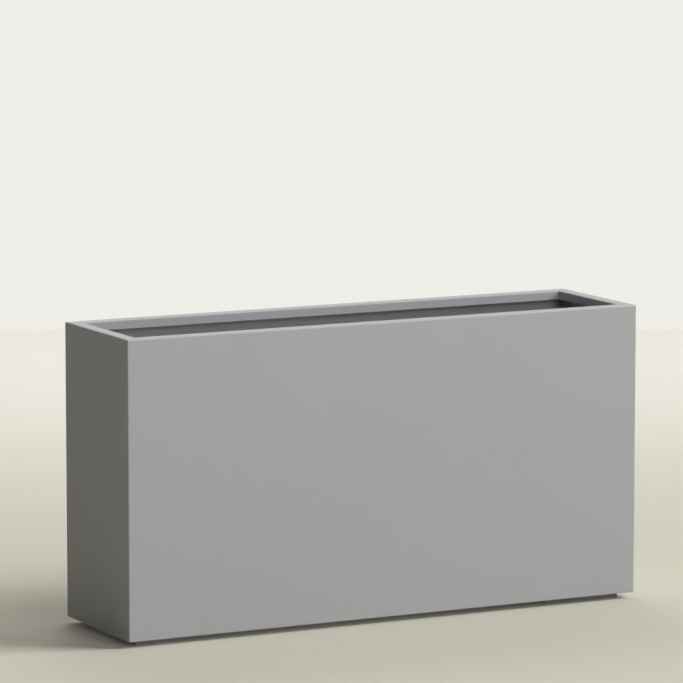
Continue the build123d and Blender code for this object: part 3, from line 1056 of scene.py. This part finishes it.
class PLANTER_OT_stage(bpy.types.Operator):
    """Lay the pale floor and backdrop, and set the lamps and camera"""

    bl_idname = "planter.stage"
    bl_label = "Stage"

    def execute(self, context):
        stage = context.scene.planter_stage
        heading, direction = view_axes(stage)
        side = Vector((heading.y, -heading.x, 0.0))
        # Extents of the floor and backdrop in metres, along the camera's heading and across it
        near, far, half_width, height = -16.0, 4.3, 12.0, 7.0

        material, tree, shader = stage_material("stage_floor", 0.75)
        shader.inputs["Specular IOR Level"].default_value = 0.3
        # Painted light on the floor: the colour ramps paler towards the backdrop and to the left
        share = ramp(tree, reach_along(tree, heading), 0.5, far)
        color = blend_colors(tree, share, tuple(stage.near_floor_with_painted_light), tuple(stage.far_floor_with_painted_light))
        left_painted_light, right_painted_light = 1.0 + stage.floor_painted_light_tilt, 1.0 - stage.floor_painted_light_tilt
        gain = ramp(tree, reach_along(tree, side), -1.0, 1.0, left_painted_light, right_painted_light)
        tree.links.new(scaled(tree, color, gain), shader.inputs["Base Color"])
        open_to_view(tree, shader.outputs[0], open_from_below(tree))
        left, right = -half_width * side, half_width * side
        front, back, top = near * heading, far * heading, Vector((0.0, 0.0, height))
        stage_sheet("stage_floor", [left + front, right + front, right + back, left + back], material)

        material, tree, shader = stage_material("stage_backdrop", 0.9)
        shader.inputs["Base Color"].default_value = (*stage.backdrop, 1.0)
        shown = shown_pale(tree, shader.outputs[0], stage.backdrop)
        open_to_view(tree, shown, put(tree, "ShaderNodeNewGeometry").outputs["Backfacing"])
        outline = [left + back, right + back, right + back + top, left + back + top]
        stage_sheet("stage_backdrop", outline, material)

        # Name, size, power, then azimuth, elevation and distance from the middle
        lamps = (
            ("key", 5.4, stage.key_power, 90.0, 36.0, 12.0),
            ("fill", 2.0, stage.fill_power, 27.0, 20.0, 4.5),
            ("side", 1.5, stage.side_power, -80.0, 50.0, 2.5),
            ("back", 2.0, stage.back_power, 195.0, 50.0, 4.5),
            ("under", 1.5, stage.under_power, 0.0, -80.0, 2.5),
        )
        for name, size, power, azimuth, elevation, distance in lamps:
            place_at = round_about(stage, math.radians(azimuth), math.radians(elevation), distance)
            lamp(name, size, power, place_at, middle)

        # Plain and pale to the camera, ambient light to everything else
        world = bpy.data.worlds.new("studio")
        context.scene.world = world
        world.use_nodes = True
        tree = world.node_tree
        ambient = tree.nodes["Background"]
        ambient.inputs["Color"].default_value = (1.0, 0.985, 0.96, 1.0)
        ambient.inputs["Strength"].default_value = stage.ambient
        plain = put(tree, "ShaderNodeBackground")
        plain.inputs["Color"].default_value = (*stage.backdrop, 1.0)
        seen = put(tree, "ShaderNodeMixShader")
        tree.links.new(put(tree, "ShaderNodeLightPath").outputs["Is Camera Ray"], seen.inputs[0])
        tree.links.new(ambient.outputs[0], seen.inputs[1])
        tree.links.new(plain.outputs[0], seen.inputs[2])
        tree.links.new(seen.outputs[0], tree.nodes["World Output"].inputs["Surface"])

        data = bpy.data.cameras.new("camera")
        data.lens, data.sensor_width = stage.lens, 36.0
        data.clip_start, data.clip_end = 0.1, 100.0
        camera = bpy.data.objects.new("camera", data)
        camera.location = Vector(stage.aim) - direction * stage.distance
        camera.rotation_mode = "QUATERNION"
        camera.rotation_quaternion = direction.to_track_quat("-Z", "Y")
        context.scene.collection.objects.link(camera)
        context.scene.camera = camera
        context.scene.view_settings.view_transform = "Standard"
        return {"FINISHED"}


steps = [
    PLANTER_OT_stage,
    PLANTER_OT_walls,
    PLANTER_OT_corners,
    PLANTER_OT_floor,
    PLANTER_OT_rails,
    PLANTER_OT_rail_fasteners,
    PLANTER_OT_skids,
    PLANTER_OT_skid_fasteners,
    PLANTER_OT_rivets,
    PLANTER_OT_shelves,
    PLANTER_OT_plugs,
]
settings = {
    "planter_paint": PaintSettings,
    "planter_hardware": HardwareSettings,
    "planter_sheet": SheetSettings,
    "planter_stage": StageSettings,
}


class PLANTER_PT_panel(bpy.types.Panel):
    """Lists the planter's settings and steps"""

    bl_label = "Planter"
    bl_idname = "PLANTER_PT_panel"
    bl_space_type = "VIEW_3D"
    bl_region_type = "UI"
    bl_category = "Planter"

    def draw(self, context):
        for name, group in settings.items():
            box = self.layout.box()
            box.label(text=group.__doc__)
            for label in group.__annotations__:
                box.prop(getattr(context.scene, name), label)
        for step in steps:
            self.layout.operator(step.bl_idname)


def register():
    for group in settings.values():
        bpy.utils.register_class(group)
    for step in steps:
        bpy.utils.register_class(step)
    bpy.utils.register_class(PLANTER_PT_panel)
    for name, group in settings.items():
        setattr(bpy.types.Scene, name, PointerProperty(type=group))


def unregister():
    for name in settings:
        delattr(bpy.types.Scene, name)
    bpy.utils.unregister_class(PLANTER_PT_panel)
    for step in reversed(steps):
        bpy.utils.unregister_class(step)
    for group in reversed(settings.values()):
        bpy.utils.unregister_class(group)


def main():
    """Runs every step in order."""
    register()
    for step in steps:
        family, name = step.bl_idname.split(".")
        getattr(getattr(bpy.ops, family), name)()


if __name__ == "__main__":
    main()
